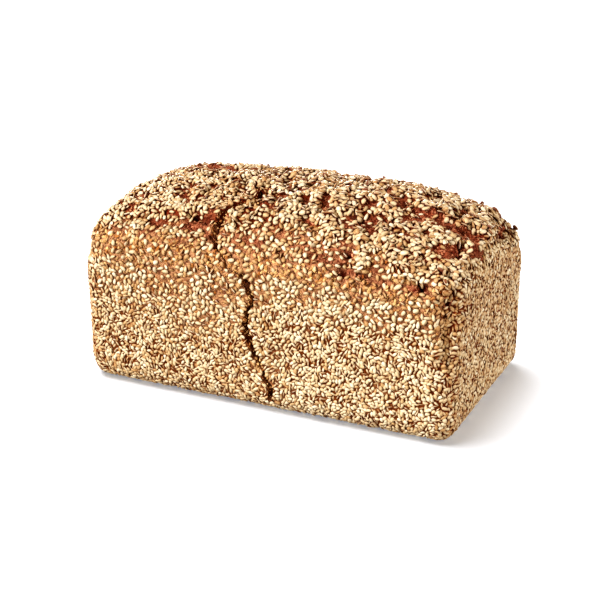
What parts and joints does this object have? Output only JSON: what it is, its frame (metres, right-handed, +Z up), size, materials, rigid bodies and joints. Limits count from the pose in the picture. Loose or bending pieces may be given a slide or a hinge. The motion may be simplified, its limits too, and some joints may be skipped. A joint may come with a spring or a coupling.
{
  "type": "seeded tin bread loaf",
  "caption": "Whole tin-baked spelt bread loaf with a domed torn top, coated all over in sesame seeds and cracked down a long side; rests on its flat underside.",
  "frame": {"origin": "middle of the flat underside, on the surface that the loaf stands on", "axes": "+X along the loaf's length, -Y out of the cracked long side, +Z up through the domed top"},
  "size_m": [0.201, 0.1087, 0.1025],
  "materials": {
    "crust": "golden brown baked crust, dry and rough, reddish where it is torn",
    "sesame": "hulled sesame seeds, cream to straw with some toasted, faintly satin"
  },
  "bodies": {
    "root": {"loaf": "crust"}
  },
  "joints": []
}
